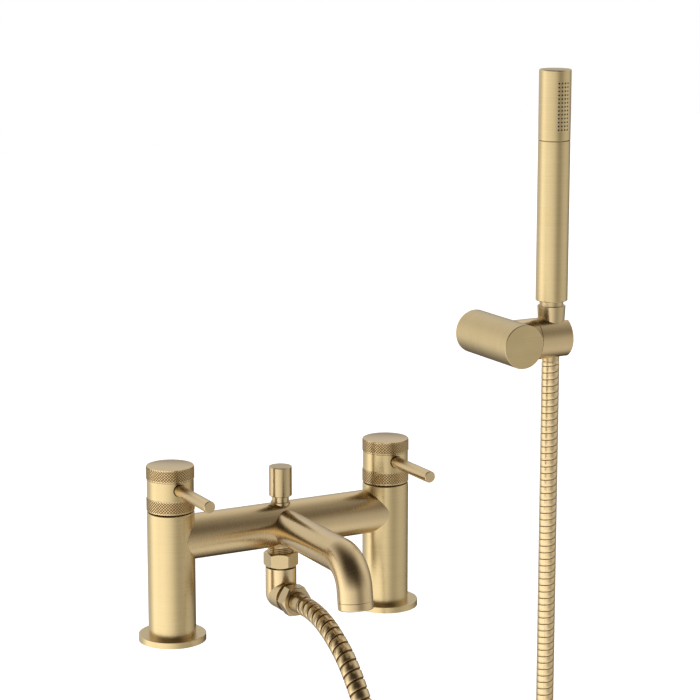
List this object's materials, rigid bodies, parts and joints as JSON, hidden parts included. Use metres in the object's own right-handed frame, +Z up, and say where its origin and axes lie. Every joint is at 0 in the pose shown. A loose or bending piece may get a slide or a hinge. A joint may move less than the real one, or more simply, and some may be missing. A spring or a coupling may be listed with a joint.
{
  "type": "bath shower mixer",
  "caption": "Deck mounted bath mixer bridging two pillar valves, with pull diverter, curved spout, ribbed shower hose and a pencil handset in a tilting wall bracket.",
  "frame": {"origin": "midway between the two tap hole centres, at deck level under the base flanges", "axes": "+X from the hot to the cold pillar, -Y along the spout towards the bath, +Y towards the wall, +Z up"},
  "size_m": [0.404, 0.2712, 0.8101],
  "materials": {
    "brushed_brass": "satin brushed",
    "plain_brass": "turned",
    "black_rubber": "matt",
    "ceramic": "lapped",
    "pale_plastic": "moulded",
    "screw_steel": "plain"
  },
  "bodies": {
    "mixer": {"hot_base_flange": "brushed_brass", "cold_base_flange": "brushed_brass", "hot_base_gasket": "black_rubber", "cold_base_gasket": "black_rubber", "hot_pillar": "brushed_brass", "cold_pillar": "brushed_brass", "hot_valve_seal": "black_rubber", "cold_valve_seal": "black_rubber", "hot_valve_body": "plain_brass", "cold_valve_body": "plain_brass", "hot_fixed_disc": "ceramic", "cold_fixed_disc": "ceramic", "bridge_tube": "brushed_brass", "spout": "brushed_brass", "aerator_ring": "brushed_brass", "aerator": "pale_plastic", "diverter_bush": "brushed_brass", "shower_nipple": "brushed_brass", "union_nut": "brushed_brass", "elbow_washer": "black_rubber", "outlet_elbow": "brushed_brass", "hose_nut": "brushed_brass", "hose_washer": "black_rubber", "hose_ferrule": "brushed_brass", "shower_hose": "brushed_brass", "wall_plate": "plain_brass", "wall_post": "brushed_brass", "post_grub_screw": "screw_steel", "arm_stub": "brushed_brass", "pivot_screw": "screw_steel"},
    "hot_handle": {"hot_handle_ring": "brushed_brass", "hot_handle_body": "brushed_brass", "hot_handle_cap": "brushed_brass", "hot_lever": "brushed_brass", "hot_spindle": "plain_brass", "hot_moving_disc": "ceramic", "hot_handle_screw": "screw_steel"},
    "cold_handle": {"cold_handle_ring": "brushed_brass", "cold_handle_body": "brushed_brass", "cold_handle_cap": "brushed_brass", "cold_lever": "brushed_brass", "cold_spindle": "plain_brass", "cold_moving_disc": "ceramic", "cold_handle_screw": "screw_steel"},
    "diverter": {"diverter_knob": "brushed_brass", "diverter_stem": "plain_brass", "diverter_disc": "black_rubber"},
    "holder": {"handset_holder": "brushed_brass"},
    "handset": {"hose_end_ferrule": "brushed_brass", "cone_nut": "brushed_brass", "handset_washer": "black_rubber", "handset_neck": "brushed_brass", "handset_barrel": "brushed_brass", "spray_head": "brushed_brass", "nozzle_rubber": "black_rubber"}
  },
  "joints": [
    {"name": "hot_turn", "type": "hinge", "parent": "mixer", "child": "hot_handle", "pos_m": [-0.09, 0, 0.1], "axis": [0, 0, -1], "range_deg": [0, 90]},
    {"name": "cold_turn", "type": "hinge", "parent": "mixer", "child": "cold_handle", "pos_m": [0.09, 0, 0.1], "axis": [0, 0, 1], "range_deg": [0, 90]},
    {"name": "diverter_pull", "type": "slide", "parent": "mixer", "child": "diverter", "axis": [0, 0, 1], "range_m": [0, 0.009]},
    {"name": "holder_tilt", "type": "hinge", "parent": "mixer", "child": "holder", "pos_m": [0.276, 0.057, 0.1835], "axis": [1, 0, 0], "range_deg": [-8, 35], "deforming": ["shower_hose"]},
    {"name": "handset_lift", "type": "slide", "parent": "holder", "child": "handset", "axis": [0, 0, 1], "range_m": [0, 0.045], "deforming": ["shower_hose"]}
  ]
}
